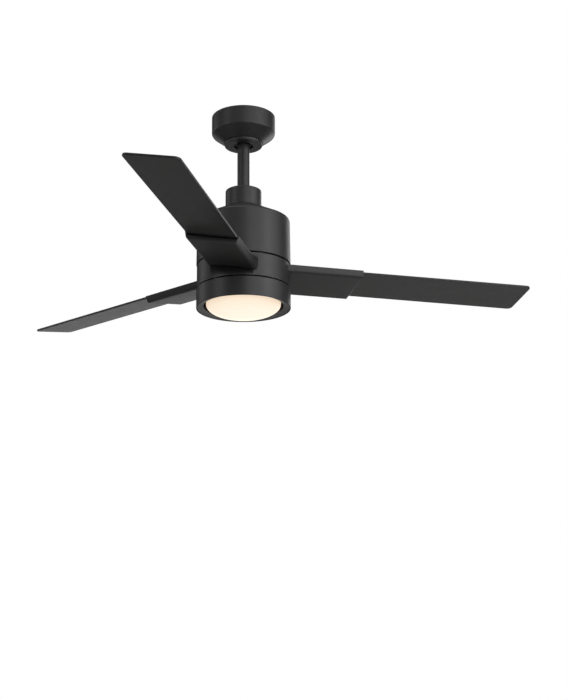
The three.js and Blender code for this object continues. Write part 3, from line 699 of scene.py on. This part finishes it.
def band_shell():
    radius, bottom, top = span("hub_band")
    inner, lip = radius - WALL, 91 * MM
    profile = fillet([
        (inner, bottom, 0.4 * MM), (radius, bottom, 0.6 * MM), (radius, top, 0.6 * MM), (lip, top, 0.3 * MM),
        (lip, top - 1.3 * MM, 0.3 * MM), (inner, top - 1.3 * MM, 0.6 * MM),
    ])
    band = lathe("band_shell", profile)
    for index in range(BLADES):
        slot = arm_plate(0.45)
        place(slot, pitched(index))
        boolean(band, slot, "DIFFERENCE")
    finish_piece(band, "black_paint", "rotor", "hub_band")


def cross_head(name):
    """A pan head screw with a cross recess, its head resting on z = 0."""
    head, height, shank, length, rim = 5.2 * MM, 2.4 * MM, 2.1 * MM, 10.5 * MM, 0.7 * MM
    profile = [(0, -length), (shank, -length), (shank, 0), (head, 0), (head, rim)]
    profile += [(head * math.cos(a), rim + (height - rim) * math.sin(a))
                for a in [math.radians(15 * k) for k in range(1, 6)]]
    profile.append((0, height))
    screw = lathe(name, profile, 40)
    screw.modifiers.clear()
    arm, half = 2.9, 0.65
    cross = [(-half, -arm), (half, -arm), (half, -half), (arm, -half), (arm, half), (half, half), (half, arm),
             (-half, arm), (-half, half), (-arm, half), (-arm, -half), (-half, -half)]
    recess = prism("recess", scaled(cross), height - 1.5 * MM, height + 1 * MM)
    return boolean(screw, recess, "DIFFERENCE")


def blade_screws():
    model = cross_head("cross_head")
    for index in range(BLADES):
        for k, (s, across) in enumerate(BLADE_SCREWS):
            name = f"blade_screw_{index + 1}_{k + 1}"
            head = as_object(f"head_{name}", model.data.copy())
            on_blade = Matrix.Translation((s * MM, across * MM, (BLADE["thickness"] + 0.05) * MM))
            twist = Matrix.Rotation(math.radians(37 * (index * 3 + k)), 4, "Z")
            place(head, pitched(index) @ on_blade @ twist)
            finish_piece(head, "black_screw", "rotor", name)
    bpy.data.objects.remove(model)


# ------------------------------------------------------------------ light
def base_ring():
    radius, bottom, top = span("lower_ring")
    inner, flange, flange_top = radius - 2.2 * MM, 88 * MM, -409 * MM
    profile = fillet([
        (inner, bottom, 0.7 * MM), (radius, bottom, 0.9 * MM), (radius, top, 0.6 * MM),
        (inner, top, 0.4 * MM), (inner, flange_top, 0.4 * MM), (flange, flange_top, 0.3 * MM),
        (flange, flange_top - 2 * MM, 0.3 * MM), (inner, flange_top - 2 * MM, 0.8 * MM),
    ])
    finish_piece(lathe("base_ring", profile), "black_paint", "hanging_frame", "lower_ring")


def ring_sectors(size, bearing, bottom, top):
    """One short arc of a ring for each lug, evenly spaced from a bearing in degrees."""
    half = size["spread"] / 2
    for k in range(LUGS):
        middle = bearing + 360 / LUGS * k
        outline = arc(0, 0, size["outer"], middle - half, middle + half, 10)
        outline += arc(0, 0, size["inner"], middle + half, middle - half, 10)
        yield prism("sector", scaled(outline), bottom, top)


def light_dish():
    """A cup whose floor rises a little to its hole; a collar round the hole ends in the notched shelf."""
    radius, bottom, top = span("light_pan")
    hole, hole_z, thick = PAN["hole"] * MM, PAN["hole_z"] * MM, PAN["sheet"] * MM
    shelf, shelf_top = SHELF["inner"] * MM, SHELF["top"] * MM
    shelf_bottom = shelf_top - SHELF["sheet"] * MM
    collar = hole + thick
    profile = fillet([
        (hole, hole_z, 0.5 * MM), (radius, bottom, 0.6 * MM), (radius, top, 0.4 * MM),
        (radius - thick, top, 0.4 * MM), (radius - thick, bottom + thick, 0.8 * MM),
        (collar, hole_z + thick, 0.4 * MM), (collar, shelf_top, 0.4 * MM), (shelf, shelf_top, 0.2 * MM),
        (shelf, shelf_bottom, 0.2 * MM), (hole, shelf_bottom, 0.2 * MM),
    ])
    dish = lathe("light_dish", profile)
    for notch in ring_sectors(NOTCH, NOTCH["bearing"], shelf_bottom - 1 * MM, shelf_top + 1 * MM):
        boolean(dish, notch, "DIFFERENCE")
    finish_piece(dish, "black_paint", "hanging_frame", "light_pan")
    # painted lamp light: the downward faces round the hole get the lighter copy of the paint
    paint_faces(dish, PAINTED_LAMP_LIGHT, lambda at, normal: normal.z < -0.3 and at.xy.length > hole + 0.4 * MM)
    # painted shade: the faces inside the hole, above its edge, get the near black copy of the paint
    inside = hole + 0.2 * MM
    paint_faces(dish, PAINTED_GAP_SHADE, lambda at, normal: at.xy.length < inside and at.z > hole_z + 0.3 * MM)


def opal_bowl():
    _, bottom, top = span("diffuser")
    radius, equator, wall, edge = [OPAL[key] * MM for key in ("radius", "equator", "wall", "edge")]
    drop, steps = equator - bottom, 28

    def dome(r, depth):
        angles = [math.pi / 2 * k / steps for k in range(steps)]
        return [(r * math.cos(a), equator - depth * math.sin(a)) for a in angles] + [(0, equator - depth)]

    profile = dome(radius, drop)[::-1]
    profile += [(radius, top - edge), (radius - edge, top)]
    profile += [(radius - wall + edge, top), (radius - wall, top - edge)]
    profile += dome(radius - wall, drop - wall)
    bowl = lathe("opal_bowl", profile)
    lug_bottom = (SHELF["top"] + LUG["clearance"]) * MM
    for lug in ring_sectors(LUG, 0, lug_bottom, lug_bottom + LUG["height"] * MM):
        boolean(bowl, lug, "UNION")
    finish_piece(bowl, "opal_diffuser", "diffuser", "diffuser")


bracket_strap()
receiver_case()
canopy_shell()
trim_ring()
ball_joint()
rod_tube()
coupling_cup()
housing_shell()
band_shell()
for number in range(BLADES):
    arm_casting(number)
    blade_panel(number)
blade_screws()
base_ring()
light_dish()
opal_bowl()

# ------------------------------------------------------------------ camera
camera = bpy.data.objects.new("camera", bpy.data.cameras.new("camera"))
camera.location = CAMERA_AT
camera.rotation_euler = (math.pi / 2 + CAMERA_TILT, 0, 0)
camera.data.lens = CAMERA_LENS
camera.data.sensor_width = 36
camera.data.shift_x = CAMERA_SHIFT
bpy.context.scene.collection.objects.link(camera)
bpy.context.scene.camera = camera


# ------------------------------------------------------------------ studio
def softbox(name, bearing, distance, height, width, tall, power):
    """A soft rectangular light, `bearing` degrees to the right of the camera's side, turned to the hub."""
    light = bpy.data.lights.new(name, "AREA")
    light.shape = "RECTANGLE"
    light.size, light.size_y = width, tall
    light.energy = power
    obj = bpy.data.objects.new(name, light)
    hub = Vector((0, 0, -0.35))
    angle = math.radians(bearing)
    at = Vector((distance * math.sin(angle), -distance * math.cos(angle), height))
    obj.location = at
    obj.rotation_euler = (hub - at).to_track_quat("-Z", "Y").to_euler()
    obj.visible_camera = False
    bpy.context.scene.collection.objects.link(obj)


def studio():
    # bearing in degrees from the camera's side, and power in watts
    for bearing, power in ((-115, 8), (-60, 13), (-20, 3), (18, 14), (38, 8), (60, 24), (85, 9), (148, 13)):
        softbox(f"panel_{bearing}", bearing, distance=2.6, height=0.1, width=0.9, tall=2.0, power=power)
    softbox("back_glow", 180, distance=3.4, height=-0.35, width=4.5, tall=0.9, power=15)
    softbox("low_back", 158, distance=3.0, height=-2.1, width=1.6, tall=1.0, power=3)
    softbox("overhead", 0, distance=0.5, height=2.4, width=3.0, tall=3.0, power=40)
    pale_floor()
    backdrop()


def pale_floor():
    bm = bmesh.new()
    bm.faces.new([bm.verts.new((x, y, FLOOR_Z)) for x, y in circle(0, 0, FLOOR_REACH, 96)])
    floor = new_object("floor", bm)
    n = Nodes("pale floor")
    seen = n.add("ShaderNodeLightPath").outputs["Is Camera Ray"]  # pale to the eye, lights nothing
    floor.data.materials.append(n.put(Base_Color=(0.82, 0.81, 0.79, 1), Roughness=0.7,
                                      Emission_Color=(0.74, 0.735, 0.725, 1), Emission_Strength=seen))


def backdrop():
    """White to the camera, and a faint even light on the object."""
    world = bpy.data.worlds.new("studio")
    bpy.context.scene.world = world
    world.use_nodes = True
    tree = world.node_tree
    seen = tree.nodes.new("ShaderNodeLightPath").outputs["Is Camera Ray"]
    brightness = tree.nodes.new("ShaderNodeMapRange")
    brightness.inputs["To Min"].default_value = AMBIENT
    brightness.inputs["To Max"].default_value = 1.0
    tree.links.new(seen, brightness.inputs["Value"])
    background = tree.nodes["Background"]
    background.inputs["Color"].default_value = (1, 1, 1, 1)
    tree.links.new(brightness.outputs["Result"], background.inputs["Strength"])


studio()
bpy.context.scene.view_settings.view_transform = "Standard"
bpy.context.scene.view_settings.look = "None"
